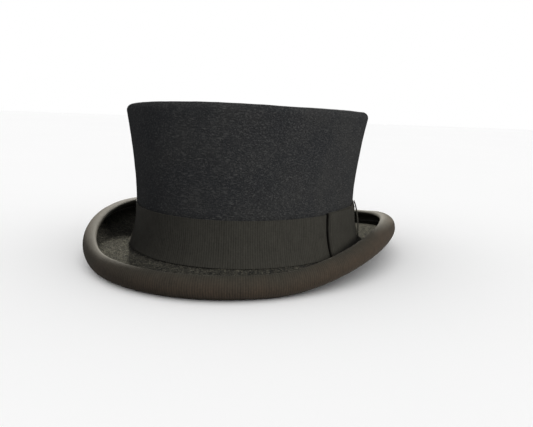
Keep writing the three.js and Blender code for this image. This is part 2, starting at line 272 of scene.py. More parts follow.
def piece(name, points, faces, material, uv=None):
    """A mesh that rides on the hat. uv has a row for each point."""
    mesh = bpy.data.meshes.new(name)
    mesh.from_pydata(np.asarray(points, float).reshape(-1, 3).tolist(), [], faces)
    if uv is not None:
        corners = np.zeros(len(mesh.loops), int)
        mesh.loops.foreach_get("vertex_index", corners)
        layer = mesh.uv_layers.new(name="run")
        layer.data.foreach_set("uv", np.asarray(uv, float).reshape(-1, 2)[corners].ravel())
    mesh.shade_smooth()
    mesh.set_sharp_from_angle(angle=SHARP)
    mesh.materials.append(material)
    made = bpy.data.objects.new(name, mesh)
    bpy.context.scene.collection.objects.link(made)
    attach(made, "root")
    return made


def slab_faces(rows, columns, closed):
    """The faces of a closed solid between two sheets of points, the front sheet's points first."""
    index = np.arange(2 * rows * columns).reshape(2, rows, columns)
    if closed:
        index = np.concatenate([index, index[:, :1]], axis=1)
    front, back = index

    def quads(a, b, c, d):
        return np.stack([a, b, c, d], -1).reshape(-1, 4)

    faces = [
        quads(front[:-1, :-1], front[:-1, 1:], front[1:, 1:], front[1:, :-1]),
        quads(back[:-1, :-1], back[1:, :-1], back[1:, 1:], back[:-1, 1:]),
        quads(front[:-1, 0], front[1:, 0], back[1:, 0], back[:-1, 0]),
        quads(front[:-1, -1], back[:-1, -1], back[1:, -1], front[1:, -1]),
    ]
    if not closed:
        faces.append(quads(front[0, :-1], back[0, :-1], back[0, 1:], front[0, 1:]))
        faces.append(quads(front[-1, :-1], front[-1, 1:], back[-1, 1:], back[-1, :-1]))
    return np.concatenate(faces).tolist()


def slab(name, front, back, closed, material, along=None, across=None):
    """A closed solid between two sheets of points, with along and across as its texture's place."""
    rows, columns = front.shape[:2]
    uv = None
    if along is not None:
        u, v = np.broadcast_arrays(np.reshape(along, (-1, 1)), np.reshape(across, (1, -1)))
        uv = np.concatenate([np.stack([u, v], -1).reshape(-1, 2)] * 2)
    points = np.concatenate([front.reshape(-1, 3), back.reshape(-1, 3)])
    return piece(name, points, slab_faces(rows, columns, closed), material, uv)


def merge_points(made):
    """Joins points that lie on each other, such as those where a sheet's rows meet."""
    work = bmesh.new()
    work.from_mesh(made.data)
    bmesh.ops.remove_doubles(work, verts=work.verts, dist=TOUCHING)
    bmesh.ops.dissolve_degenerate(work, edges=work.edges, dist=TOUCHING)
    work.to_mesh(made.data)
    work.free()


def tube_rings(centres, radii, sides):
    """Rings of points round a line of centres, with its frame turned as little as possible."""
    way = np.gradient(centres, axis=0)
    way /= np.linalg.norm(way, axis=1)[:, None]
    side = np.cross(way, [0, 0, 1.0])
    side /= np.linalg.norm(side, axis=1)[:, None]
    upper = np.cross(side, way)
    turn = 2 * np.pi * np.arange(sides) / sides
    ring = np.cos(turn)[None, :, None] * side[:, None] + np.sin(turn)[None, :, None] * upper[:, None]
    return centres[:, None] + ring * np.reshape(radii, (-1, 1, 1))


def tube_faces(rings, sides, start):
    """The faces of a closed tube whose first point has index start."""
    index = start + np.arange(rings * sides).reshape(rings, sides)
    turned = np.roll(index, -1, axis=1)
    walls = np.stack([index[:-1], turned[:-1], turned[1:], index[1:]], -1).reshape(-1, 4)
    return walls.tolist() + [index[0][::-1].tolist(), index[-1].tolist()]


def stitches(name, paths, radius, material):
    """Short closed strands, one for each path of points, which taper at both ends."""
    points = []
    faces = []
    for path in paths:
        taper = np.sin(np.linspace(0.06, 0.94, len(path)) * np.pi)
        radii = radius * np.sqrt(np.clip(taper, 0, 1))
        start = sum(len(p) for p in points)
        points.append(tube_rings(np.asarray(path), radii, THREAD_SIDES).reshape(-1, 3))
        faces += tube_faces(len(path), THREAD_SIDES, start)
    return piece(name, np.concatenate(points), faces, material)


# ---- Materials ----------------------------------------------------------------------


class Look:
    """A material made of nodes, with a Principled shader."""

    def __init__(self, name, roughness, **sockets):
        self.material = bpy.data.materials.new(name)
        self.material.use_nodes = True
        self.tree = self.material.node_tree
        self.shader = self.tree.nodes["Principled BSDF"]
        self.set(self.shader, Roughness=roughness, **sockets)

    def feed(self, socket, value):
        """Links another node's output to a socket, or sets the socket to a plain value."""
        if isinstance(value, bpy.types.NodeSocket):
            self.tree.links.new(value, socket)
        else:
            socket.default_value = value

    def set(self, node, **sockets):
        for name, value in sockets.items():
            self.feed(node.inputs[name.replace("_", " ")], value)
        return node

    def add(self, kind, settings=(), **sockets):
        node = self.tree.nodes.new("ShaderNode" + kind)
        for name, value in dict(settings).items():
            setattr(node, name, value)
        return self.set(node, **sockets)

    def place(self, scale=(1, 1, 1), source="Object"):
        coordinates = self.add("TexCoord").outputs[source]
        return self.add("Mapping", Vector=coordinates, Scale=scale).outputs[0]

    def noise(self, place, scale, detail=3.0, roughness=0.6, distortion=0.0):
        node = self.add("TexNoise", Vector=place, Scale=scale, Detail=detail)
        return self.set(node, Roughness=roughness, Distortion=distortion).outputs[0]

    def ramp(self, value, *stops):
        """Colours or grey levels at the given places, each stop being (place, colour)."""
        node = self.add("ValToRGB", Fac=value)
        for i, (where, colour) in enumerate(stops):
            element = node.color_ramp.elements[i] if i < 2 else node.color_ramp.elements.new(where)
            element.position = where
            element.color = (colour,) * 3 + (1,) if isinstance(colour, (int, float)) else (*colour, 1)
        return node.outputs[0]

    def math(self, operation, a, b=0.0):
        node = self.add("Math", [("operation", operation)])
        self.feed(node.inputs[0], a)
        self.feed(node.inputs[1], b)
        return node.outputs[0]

    def blend(self, share, a, b, mode="MIX"):
        """Mixes two colours. Sockets 0, 6 and 7 are the share and the colours."""
        node = self.add("Mix", [("data_type", "RGBA"), ("blend_type", mode)])
        self.feed(node.inputs[0], share)
        for socket, value in ((node.inputs[6], a), (node.inputs[7], b)):
            self.feed(socket, (*value, 1) if isinstance(value, tuple) else value)
        return node.outputs[2]

    def bump(self, height, distance, strength=1.0, under=None):
        node = self.add("Bump", Height=height, Distance=distance, Strength=strength)
        if under is not None:
            self.set(node, Normal=under)
        return node.outputs[0]

    def finish(self, colour, normal=None, roughness=None):
        self.set(self.shader, Base_Color=colour)
        if normal is not None:
            self.set(self.shader, Normal=normal)
        if roughness is not None:
            self.set(self.shader, Roughness=roughness)
        return self.material


def felt_look():
    """Matted wool with light fibres, which lie level on the crown and curl on the brim. On the brim the
    ground and flecks are lighter and warmer and the gaps darker: painted raking light and painted
    shadow.
    """
    look = Look("wool_felt", 1.0, Specular_IOR_Level=0.0, Sheen_Weight=0.01, Sheen_Roughness=0.6)
    place = look.place()
    matted = look.noise(place, 1100, 4, 0.75)
    along = look.noise(look.place((0.26, 1, 1)), 1100, 4, 0.5, 0.4)
    across = look.noise(look.place((1, 0.26, 1)), 1100, 4, 0.5, 0.4)
    fibres = look.math("MAXIMUM", along, across)
    patches = look.noise(place, 40, 2)
    height = look.add("SeparateXYZ", Vector=place).outputs[2]
    # 1 on the brim, below 36 mm, and 0 on the crown, above 40 mm. On the brim it brings the real curls
    # and also painted light: a lighter, warmer ground, cream flecks and darker gaps.
    brim_curls_and_light = look.ramp(look.math("MULTIPLY", height, 10.0), (0.36, 1), (0.40, 0))
    curls = look.noise(place, 480, 3, 0.7, 1.5)
    level = look.ramp(fibres, (0.55, 0), (0.76, 1))
    fleck = look.blend(brim_curls_and_light, level, look.ramp(curls, (0.42, 0), (0.64, 1)))
    ground = look.ramp(patches, (0.3, (0.0125, 0.0133, 0.0149)), (0.7, (0.0172, 0.0176, 0.0184)))
    # painted light: the brim's ground is lighter and warmer than the crown's, standing in for the low
    # light across the brim
    ground = look.blend(brim_curls_and_light, ground, (0.0190, 0.0190, 0.0180))
    # painted highlight: the brim's flecks are cream and twice as light as the crown's
    light = look.blend(brim_curls_and_light, (0.037, 0.0375, 0.0375), (0.074, 0.071, 0.058))
    colour = look.blend(fleck, ground, light)
    # darker between the fibres; the crown's 0.75 is the felt's tone, the brim's deeper 0.55 is painted
    # shadow between lit fibres
    dark = look.ramp(fibres, (0.42, 0.0), (0.58, 1.0))
    shade = look.blend(brim_curls_and_light, (0.75, 0.75, 0.75), (0.55, 0.55, 0.55))
    colour = look.blend(1.0, colour, look.blend(dark, shade, (1, 1, 1)), "MULTIPLY")
    relief = look.math("ADD", fibres, look.math("MULTIPLY", matted, 0.35))
    relief = look.math("ADD", relief, look.math("MULTIPLY", look.math("MULTIPLY", curls, brim_curls_and_light), 4.0))
    return look.finish(colour, look.bump(relief, 1.2 * MM, 1.0))


def grosgrain_look(name, ground, raised, painted_bounce=None, roughness=0.8, gloss=0.04, sheen=0.03):
    """Ribbon with ribs RIB apart. A fourth colour, if given, is the one it turns to far across its
    width: painted warm light bounced up from below.
    """
    look = Look(name, roughness, Sheen_Weight=sheen, Sheen_Roughness=0.45, Specular_IOR_Level=gloss)
    look.set(look.shader, Sheen_Tint=(0.95, 0.9, 0.8, 1))
    run = look.add("SeparateXYZ", Vector=look.place(source="UV")).outputs
    rib = look.math("SINE", look.math("MULTIPLY", run[0], 2 * math.pi / RIB))
    weft = look.math("SINE", look.math("MULTIPLY", run[1], 2 * math.pi / (0.5 * MM)))
    place = look.place()
    slub = look.noise(look.place((500, 120, 1), "UV"), 1.0, 3)
    grain = look.noise(place, 900, 3, 0.7)
    blotches = look.noise(place, 60, 3)
    weave = look.math("ADD", look.math("MULTIPLY", rib, 0.5), look.math("MULTIPLY", weft, 0.2))
    tone = look.math("ADD", look.math("MULTIPLY", weave, 0.25), look.math("MULTIPLY", slub, 0.45))
    tone = look.math("ADD", tone, look.math("MULTIPLY", grain, 0.55))
    # painted light: far across the width the raised threads turn warmer, for warm light bounced up from
    # below
    if painted_bounce:
        share = look.math("ADD", look.math("MULTIPLY", run[1], 25.0), look.math("MULTIPLY", blotches, 0.3))
        raised = look.blend(look.ramp(share, (0.55, 0), (0.85, 1)), raised, painted_bounce)
    colour = look.blend(look.ramp(tone, (0.25, 0), (0.75, 1)), ground, raised)
    colour = look.blend(look.ramp(blotches, (0.35, 0), (0.75, 0.35)), colour, raised)
    normal = look.bump(weave, 0.12 * MM, 0.6)
    return look.finish(colour, look.bump(grain, 0.15 * MM, 0.6, normal))


def satin_look(name, ground, raised):
    """Satin with fine upright threads and cloudy patches."""
    look = Look(name, 0.32, Sheen_Weight=0.25, Specular_IOR_Level=0.5, Anisotropic=0.6)
    place = look.place()
    threads = look.noise(look.place((1, 1, 0.04)), 2600, 2)
    clouds = look.noise(place, 38, 3)
    colour = look.blend(look.ramp(clouds, (0.3, 0), (0.7, 1)), ground, raised)
    colour = look.blend(look.ramp(threads, (0.35, 0), (0.65, 0.4)), colour, raised)
    roughness = look.ramp(clouds, (0.3, 0.28), (0.7, 0.4))
    return look.finish(colour, look.bump(threads, 0.05 * MM, 0.5), roughness)


def leather_look():
    """Brown leather with pores, creases and uneven tanning."""
    look = Look("sweatband_leather", 0.5, Specular_IOR_Level=0.4, Coat_Weight=0.08, Coat_Roughness=0.4)
    place = look.place()
    to_edge = [("feature", "DISTANCE_TO_EDGE")]
    pores = look.add("TexVoronoi", to_edge, Vector=place, Scale=900).outputs[0]
    clouds = look.noise(place, 50, 4)
    creases = look.noise(look.place((1, 1, 3.0)), 160, 4)
    colour = look.ramp(clouds, (0.3, (0.040, 0.021, 0.013)), (0.75, (0.085, 0.046, 0.028)))
    dark = look.ramp(creases, (0.38, 0.55), (0.5, 1))
    colour = look.blend(1.0, colour, dark, "MULTIPLY")
    grain = look.bump(look.ramp(pores, (0, 0), (0.12, 1)), 0.12 * MM, 0.7)
    roughness = look.ramp(clouds, (0.3, 0.42), (0.7, 0.6))
    return look.finish(colour, look.bump(creases, 0.3 * MM, 0.4, grain), roughness)


def woven_look(name, ground, raised, pitch=0.5 * MM):
    """Plain-woven tape or thread."""
    look = Look(name, 0.8, Sheen_Weight=0.2, Specular_IOR_Level=0.2)
    place = look.place()
    weave = look.add("TexVoronoi", Vector=place, Scale=1 / pitch).outputs[0]
    clouds = look.noise(place, 200, 3)
    colour = look.blend(look.ramp(weave, (0.1, 1), (0.7, 0)), ground, raised)
    colour = look.blend(look.ramp(clouds, (0.4, 0), (0.8, 0.5)), colour, raised)
    return look.finish(colour, look.bump(weave, -0.15 * MM, 0.6))


def plastic_look():
    """Milky plastic, lightly scratched."""
    look = Look("reed_plastic", 0.45, Subsurface_Weight=0.15, Specular_IOR_Level=0.45)
    place = look.place()
    clouds = look.noise(place, 120, 3)
    scratches = look.noise(look.place((1, 1, 8)), 500, 2)
    colour = look.ramp(clouds, (0.3, (0.55, 0.51, 0.43)), (0.7, (0.66, 0.62, 0.54)))
    return look.finish(colour, look.bump(scratches, 0.05 * MM, 0.4))


wool = felt_look()
band_ribbon = grosgrain_look("band_ribbon", (0.0100, 0.0096, 0.0085), (0.0255, 0.0248, 0.0219),
                             roughness=0.8, gloss=0.02, sheen=0.01)
# the binding turns warmer brown over the outside of its roll below the top: painted bounce light from
# below
binding_ribbon = grosgrain_look("binding_ribbon", (0.0105, 0.0090, 0.0074), (0.0235, 0.0225, 0.0185),
                                painted_bounce=(0.029, 0.0215, 0.0158))
satin_ribbon = satin_look("satin_ribbon", (0.012, 0.012, 0.014), (0.03, 0.03, 0.033))
lining_satin = satin_look("lining_satin", (0.028, 0.028, 0.034), (0.06, 0.06, 0.07))
leather = leather_look()
thread = woven_look("black_thread", (0.012, 0.012, 0.012), (0.05, 0.05, 0.05), 0.25 * MM)
cotton = woven_look("cotton_tape", (0.014, 0.014, 0.014), (0.04, 0.04, 0.042))
plastic = plastic_look()

# ---- Felt body ----------------------------------------------------------------------


def felt_face(t):
    """d, z and shrink of the felt's upper face, from the tip's centre to the brim's edge."""
    t = t[:, None]
    top = top_height(t)
    lean = np.arctan(flare_at(t) * crown.flare_power / (top - crown.waist_height))
    edge_z = top - crown.edge_radius
    edge_d = wall_out(t, edge_z - crown.edge_radius * np.sin(lean)) - crown.edge_radius * np.cos(lean)
    shrink = np.linspace(0, 1, 22)[None, :-1] ** 0.8
    tip = (edge_d + 0 * shrink, mix(crown.centre_height, top, shrink ** 2), shrink)

    brow = on_roll(edge_d, edge_z, crown.edge_radius, mix(90 * DEG, -lean, np.linspace(0, 1, 11)))
    wall_top = edge_z - crown.edge_radius * np.sin(lean)
    wall_z = mix(wall_top, crown.waist_height, np.linspace(0, 1, 48)[1:])
    foot_z = mix(crown.waist_height, crown.foot_height, np.linspace(0, 1, 17)[1:]) + 0 * t
    wall = (wall_out(t, wall_z), wall_z)
    foot = (wall_out(t, foot_z), foot_z)

    d, z, edge = roll_at(t)
    inside = roll.radius - RIBBON - GAP - FELT
    corner_d = wall_out(t, crown.corner_height)
    slope = np.arctan2(z - crown.corner_height, d - corner_d)
    slope = slope - np.arcsin(inside / np.hypot(d - corner_d, z - crown.corner_height))
    end_d, end_z = on_roll(corner_d, crown.corner_height, crown.corner_reach, slope)

    def bent(start, corner, end):
        share = np.linspace(0, 1, 9)[1:]
        return (1 - share) ** 2 * start + 2 * share * (1 - share) * corner + share ** 2 * end

    start_d = wall_out(t, crown.foot_height)
    bend = (bent(start_d, corner_d, end_d), bent(crown.foot_height, crown.corner_height, end_z))
    curl_d, curl_z = on_roll(d, z, inside, slope - 90 * DEG)
    share = np.linspace(0, 1, 20)[1:-1]
    floor = (mix(end_d, curl_d, share), mix(end_z, curl_z, share))
    curl = on_roll(d, z, inside, mix(slope - 90 * DEG, edge, np.linspace(0, 1, 30)))

    parts = [brow, wall, foot, bend, floor, curl]
    line_d = np.concatenate([tip[0]] + [p[0] for p in parts], axis=1)
    line_z = np.concatenate([tip[1]] + [p[1] for p in parts], axis=1)
    tip_shrink = np.broadcast_to(shrink, (len(t), shrink.shape[1]))
    whole = np.ones((len(t), line_d.shape[1] - shrink.shape[1]))
    return line_d, line_z, np.concatenate([tip_shrink, whole], axis=1)


def felt_body():
    """Crown, tip and brim in one sheet of felt, swollen a little where the band draws it in."""
    t = angles_round(300)
    d, z, shrink = felt_face(t)
    way_d = np.gradient(d * shrink, axis=1)
    way_z = np.gradient(z, axis=1)
    size = np.maximum(np.hypot(way_d, way_z), 1e-9)
    on_tip = shrink < 1
    right_d = np.where(on_tip, 0, way_z / size)
    right_z = np.where(on_tip, -1, -way_d / size)
    u = share_round(t)[:, None]
    v = np.linspace(0, 1, d.shape[1])[None]
    relief = felt_lumps.broad * lumps(u, v, (26, 11), 1) + felt_lumps.fine * lumps(u, v, (110, 48), 2)
    above = np.maximum(z - crown.waist_height, 0)
    swell = swelling.height * np.clip(above / swelling.rise, 0, 1) * np.exp(-above / swelling.fade)
    relief = (relief + swell) * np.clip(shrink * 4 - 0.4, 0, 1)
    front = place(t[:, None], d - right_d * relief, z - right_z * relief, shrink)
    back = place(t[:, None], d + right_d * FELT, z + right_z * FELT, shrink)
    made = slab("felt_shell", front, back, True, wool)
    merge_points(made)
    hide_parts("felt_body")


# ---- Binding and band ---------------------------------------------------------------


def rib_relief(count, depth):
    """In and out for each half rib of a ribbon with count rows."""
    return np.where(np.arange(count) % 2, depth, -depth)


def brim_binding():
    """The ribbon over the brim's edge: round the outside of the roll, then down its inside."""
    def curve(t):
        d, z, _ = roll_at(t)
        return place(t, d + roll.radius, z)

    half = binding.seam / 2 / arc_rate(binding.seam_angle)
    first = binding.seam_angle + half
    t, along = even_angles(first, first + 2 * np.pi - 2 * half, RIB / 2, curve)
    d, z, edge = (value[:, None] for value in roll_at(t))
    outside = roll.radius - RIBBON
    inside = outside - GAP - FELT - GAP
    middle = (outside + inside) / 2
    start = edge - binding.outer_span
    rest = start + 2 * roll.rest_angle
    inward = mix(edge, edge - binding.inner_span, np.linspace(0, 1, 12))
    outward = mix(rest, edge, np.linspace(0, 1, 15))
    outward = np.concatenate([start, mix(start, rest, 0.5), outward], axis=1)
    fold = on_roll(d, z, middle, edge)
    bends = np.linspace(0, 180, 9)[None, 1:-1] * DEG

    def line(out, back, reach):
        flat = np.ones_like(outward)
        flat[:, 1] = math.cos(roll.rest_angle)
        outside_d, outside_z = on_roll(d, z, out * flat, outward)
        fold_d, fold_z = on_roll(*fold, reach, edge + bends)
        inside_d, inside_z = on_roll(d, z, back, inward)
        line_d = np.concatenate([outside_d, fold_d, inside_d], axis=1)
        line_z = np.concatenate([outside_z, fold_z, inside_z], axis=1)
        return line_d[:, ::-1], line_z[:, ::-1]

    u = (along / along[-1])[:, None]
    v = np.linspace(0, 1, outward.shape[1] + inward.shape[1] + 7)
    waves = binding.waves * lumps(u, v[None], (70, 3), 5)
    lift = (rib_relief(len(t), RIB_DEPTH)[:, None] + waves) * np.clip(np.minimum(v, 1 - v) * 12, 0, 1)
    lift = lift * np.where(v > 0.85, 0.3, 1)
    front_d, front_z = line(roll.radius, inside - RIBBON, roll.radius - middle)
    back_d, back_z = line(outside, inside, outside - middle)
    across = np.concatenate([[0], np.cumsum(np.hypot(np.diff(front_d[0]), np.diff(front_z[0])))])
    way_d, way_z = front_d - back_d, front_z - back_z
    size = np.hypot(way_d, way_z)
    front_d = front_d + way_d / size * lift
    above_floor = np.maximum(front_z + way_z / size * lift, 0)
    front = place(t[:, None], front_d, above_floor)
    back = place(t[:, None], back_d, back_z)
    made = slab("brim_ribbon", front, back, False, binding_ribbon, along, across)
    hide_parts("brim_binding")
    return made


def binding_stitches():
    """Running stitches near the ribbon's inner hem."""
    face = roll.radius - 2 * RIBBON - GAP - FELT - GAP
    inset = face - ribbon_thread.clearance - ribbon_thread.radius

    def curve(t):
        d, z, edge = roll_at(t)
        return place(t, *on_roll(d, z, inset, edge - ribbon_thread.angle))

    t, _ = even_angles(BACK + 0.02, BACK + 2 * np.pi - 0.02, ribbon_thread.pitch, curve)
    paths = [curve(np.linspace(a, mix(a, b, ribbon_thread.share), 5)) for a, b in zip(t[:-1], t[1:])]
    made = stitches("binding_stitches", paths, ribbon_thread.radius, thread)
    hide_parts("binding_thread")


def hat_band():
    """The ribbon round the crown's foot, whose ends meet under the bow's knot."""
    def curve(t):
        return place(t, RIBBON, crown.waist_height)

    half = band.seam / 2 / arc_rate(bow.centre)
    t, along = even_angles(bow.centre + half, bow.centre + 2 * np.pi - half, RIB / 2, curve)
    t = t[:, None]
    across = np.linspace(0, 1, 30)
    z = mix(crown.waist_height, crown.foot_height, across)[None]
    height = crown.waist_height - crown.foot_height
    edges = np.minimum(across, 1 - across)[None] * height
    selvedge = band.selvedge * np.exp(-((edges - band.selvedge_in) / (0.45 * MM)) ** 2)
    waves = band.waves * (lumps((along / along[-1])[:, None], across[None], (34, 2), 7) + 1)
    ribs = rib_relief(len(t), RIB_DEPTH)[:, None] * np.clip(edges / band.flat_edge, 0, 1)
    near = wall_out(t, z) + GAP
    lift = RIBBON + ribs + selvedge + waves
    front = place(t, near + lift, z)
    back = place(t, near + 0 * lift, z)
    made = slab("hat_band_ribbon", front, back, False, band_ribbon, along, across * height)
    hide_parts("hat_band")


# ---- Bows ---------------------------------------------------------------------------


def loop_rise(shape, s):
    """How far open a loop is at a distance s from its knot's centre line, from 0 to 1."""
    share = (s - shape.knot_width / 2) / shape.rise_length
    return np.sin(np.clip(share, 0, 1) * 90 * DEG) ** 2


def loop_path(shape, count):
    """Distances along the wall and out from it on the middle of a loop's ribbon, evenly spaced."""
    radius = shape.depth / 2
    s = np.linspace(shape.end_gap, shape.length - radius, 60)
    turn = np.linspace(-90, 90, 24)[1:-1] * DEG
    back = mix(1.3 * shape.ribbon, shape.depth, loop_rise(shape, s))
    back += shape.puff * np.exp(-((s - shape.length + 2.6 * radius) / (2.4 * radius)) ** 2)
    fold = mix(0, back[-1], (1 + np.sin(turn)) / 2)
    out = np.concatenate([0 * s, fold, back[::-1]])
    way = np.concatenate([s, shape.length - radius + radius * np.cos(turn), s[::-1]])
    length = np.concatenate([[0], np.cumsum(np.hypot(np.diff(way), np.diff(out)))])
    along = np.linspace(0, length[-1], count)
    return np.interp(along, length, way), np.interp(along, length, out), along


def bow_loop(node, shape, side, toward, base, material, rib=0.0, seed=0):
    """A ribbon loop on a wall. side is 1 to the back and -1 to the front, and toward is 1 outwards."""
    count = int(round(2 * shape.length / (RIB / 2))) if rib else 140
    way, out, along = loop_path(shape, count)
    step_way, step_out = np.gradient(way), np.gradient(out)
    size = np.hypot(step_way, step_out)
    step_way, step_out = (step_way / size)[:, None], (step_out / size)[:, None]
    shut = 1 - loop_rise(shape, way)[:, None]
    across = np.linspace(0, 1, 28)[None]
    gathered = shape.gather * shut
    z = shape.bottom + mix(gathered, shape.height - gathered, across)
    free = np.clip(out / shape.depth, 0, 1)[:, None]
    wave = 0.5 * shape.ribbon * lumps((along / along[-1])[:, None] * 0.999, across, (7, 2), seed)
    folds = 0.5 * shape.ribbon * shut * np.cos(across * 6 * np.pi)
    soft = (wave + folds - 0.5 * shape.ribbon * shut) * free

    def sheet(shift):
        move = soft + shift
        level_out = GAP + shape.ribbon / 2 + out[:, None] - step_way * move
        t = shape.centre + side * (way[:, None] + step_out * move) / arc_rate(shape.centre)
        return place(t, base(t, z) + toward * level_out, z)

    outer = sheet(shape.ribbon / 2 + rib_relief(count, rib)[:, None])
    inner = sheet(-shape.ribbon / 2)
    pair = (outer, inner) if side * toward > 0 else (inner, outer)
    made = slab(node + "_ribbon", *pair, False, material, along, across[0] * shape.height)
    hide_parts(node)


def bow_knot(node, shape, toward, base, material, rib=0.0):
    """The strip that wraps the middle of a bow loosely, from the wall above it to the wall below it."""
    count = int(round(1.15 * shape.height / (RIB / 2))) if rib else 60
    share = (1 - np.cos(np.linspace(0, np.pi, count))) / 2
    arch = np.sin(share * np.pi) ** 0.75
    level = shape.bottom + shape.height * (1 - share)
    out = GAP + shape.ribbon / 2 + (shape.knot_depth - shape.ribbon / 2) * arch
    step_z, step_out = np.gradient(level), np.gradient(out)
    size = np.hypot(step_z, step_out)
    across = np.linspace(-1, 1, 16)[:, None]
    folds = 0.5 * shape.ribbon * (np.cos(across * 3 * np.pi) - across ** 2) * arch
    half = shape.knot_width / 2 * (1 - 0.12 * arch)

    def sheet(lift):
        move = folds + lift
        z = level + step_out / size * move
        d = np.maximum(out - step_z / size * move, GAP)
        t = shape.centre + across * half / arc_rate(shape.centre)
        return place(t, base(t, z) + toward * d, z)

    outer = sheet(shape.ribbon / 2 + rib_relief(count, rib) * arch)
    inner = sheet(-shape.ribbon / 2)
    pair = (inner, outer) if toward > 0 else (outer, inner)
    along = np.linspace(0, 1.15 * shape.height, count)
    pair = [face.swapaxes(0, 1) for face in pair]
    width = (across[:, 0] + 1) * shape.knot_width / 2
    made = slab(node + "_ribbon", *pair, False, material, along, width)
    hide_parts(node)


def band_face(t, z):
    return wall_out(t, z) + GAP + RIBBON


def side_bow():
    """Its rear loop lies lower and flatter than its front one."""
    rear = Sizes(**vars(bow))
    rear.height -= 3 * MM
    rear.depth = 1.7 * MM
    rear.puff = 0
    for node, shape, side in (("bow_front_loop", bow, -1), ("bow_rear_loop", rear, 1)):
        bow_loop(node, shape, side, 1, band_face, band_ribbon, RIB_DEPTH, 20 + side)
    bow_knot("bow_knot", bow, 1, band_face, band_ribbon, RIB_DEPTH)


# ---- Sweatband ----------------------------------------------------------------------


def sweat_out(t, z):
    """The sweatband's outer face, which flares with the crown's foot and is upright elsewhere."""
    return sweat.offset + wall_out(t, np.clip(z, crown.foot_height, crown.waist_height))


def leather_face(t, z):
    return sweat_out(t, z) - sweat.thickness


def sweatband():
    """The leather strip. Its free upper edge waves, and its foot has a groove for the stitches."""
    t = angles_from_seam(sweat.seam, 500)[:, None]
    share = np.linspace(0, 1, 44)[None]
    z = mix(sweat.top, sweat.bottom, share)
    u = share_round(t)
    free = 1 - share
    dent = sweat.waves * free * (lumps(u, share, (22, 3), 31) + 1)
    dent = dent + sweat.lumps * lumps(u, share, (90, 12), 32)
    groove = sweat.groove * np.exp(-((z - leather_thread.z) / (1.2 * MM)) ** 2)
    edge = np.clip(np.minimum(share, 1 - share) * 30, 0, 1)
    inner = sweat_out(t, z) - sweat.thickness * mix(0.7, 1, edge) - dent + groove
    outer = sweat_out(t, z) - dent
    made = slab("sweatband_leather_strip", place(t, outer, z), place(t, inner, z), False, leather)
    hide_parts("sweatband")


def sweatband_stitches():
    """A zigzag along the leather's foot."""
    out = GAP + leather_thread.radius - sweat.groove

    def curve(t, z=leather_thread.z):
        return place(t, leather_face(t, z) - out, z)

    t, _ = even_angles(BACK + 0.03, BACK + 2 * np.pi - 0.03, leather_thread.pitch / 2, curve)
    paths = []
    for i, (a, b) in enumerate(zip(t[:-1], t[1:])):
        rise = -leather_thread.reach if i % 2 else leather_thread.reach
        z = np.linspace(leather_thread.z - rise, leather_thread.z + rise, 5)
        paths.append(curve(np.linspace(a, b, 5), z))
    made = stitches("sweatband_zigzag", paths, leather_thread.radius * 0.8, thread)
    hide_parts("sweatband_thread")


def sweatband_reed_tape():
    """Tape round the reed, with one leg up behind the leather."""
    t = angles_from_seam(reed.seam, 480)[:, None]
    angles = np.linspace(20, -200, 20)[None] * DEG
    u = share_round(t)
    pucker = 0.1 * MM * lumps(u, np.linspace(0, 1, 21)[None], (190, 3), 41)

    def line(radius, shift):
        top_d = sweat_out(t, reed.wall_top) + GAP + shift
        d, z = on_roll(reed.d, reed.z, radius, angles)
        d, z = np.broadcast_to(d, (len(t), 20)), np.broadcast_to(z, (len(t), 20))
        return np.concatenate([top_d, d], axis=1), np.concatenate([0 * t + reed.wall_top, z], axis=1)

    outer_d, outer_z = line(reed.radius + GAP + TAPE, TAPE)
    inner_d, inner_z = line(reed.radius + GAP, 0)
    outer = place(t, outer_d, outer_z + pucker)
    inner = place(t, inner_d, inner_z + pucker * 0.5)
    made = slab("reed_tape_fold", outer, inner, False, cotton)
    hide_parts("sweatband_reed_tape")


def sweatband_joint():
    """The strip of tape sewn behind the leather's joint, with a stitch line near each of its edges."""
    half = (joint_high.x - joint_low.x) / 2
    x = np.linspace(-half, half, 25)[:, None]
    z = np.linspace(joint_low.z, joint_high.z, 90)[None]
    t = BACK - x / arc_rate(BACK)
    near = sweat_out(t, z) + GAP
    weave = 0.5 + 0.5 * np.sin(z * 2 * np.pi / TAPE_WEAVE) * np.cos(x * 2 * np.pi / TAPE_WEAVE)
    seam = np.exp(-((np.abs(x) - 0.72 * half) / (0.35 * MM)) ** 2)
    lift = TAPE * (0.82 + 0.18 * weave) - 0.12 * MM * seam
    front = place(t, near + lift, z)
    back = place(t, near + 0 * lift, z)
    made = slab("joint_tape_strip", back, front, False, cotton)
    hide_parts("sweatband_joint_tape")


def back_bow():
    """The small satin bow over the leather's joint."""
    for node, side in (("sweatband_bow_left_loop", -1), ("sweatband_bow_right_loop", 1)):
        bow_loop(node, small_bow, side, -1, leather_face, satin_ribbon, seed=50 + side)
    bow_knot("sweatband_bow_knot", small_bow, -1, leather_face, satin_ribbon)


# ---- Lining -------------------------------------------------------------------------


def lining_side():
    """The satin wall, gathered into soft upright folds."""
    t = angles_round(720)[:, None]
    share = np.linspace(0, 1, 40)[None]
    z = mix(top_height(t) - lining.side_drop, lining.bottom, share)
    u = share_round(t)
    fold = lumps(u, share, (120, 2), 61) + 0.6 * lumps(u, share, (46, 3), 62)
    hang = 0.55 * MM * (fold + 1.6) * mix(0.5, 1, np.sin(share * np.pi))
    far = wall_out(t, z) + lining.offset - FELT
    front = place(t, far - hang, z)
    back = place(t, far - hang - SATIN, z)
    made = slab("lining_wall", front, back, True, lining_satin)
    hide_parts("lining_side")


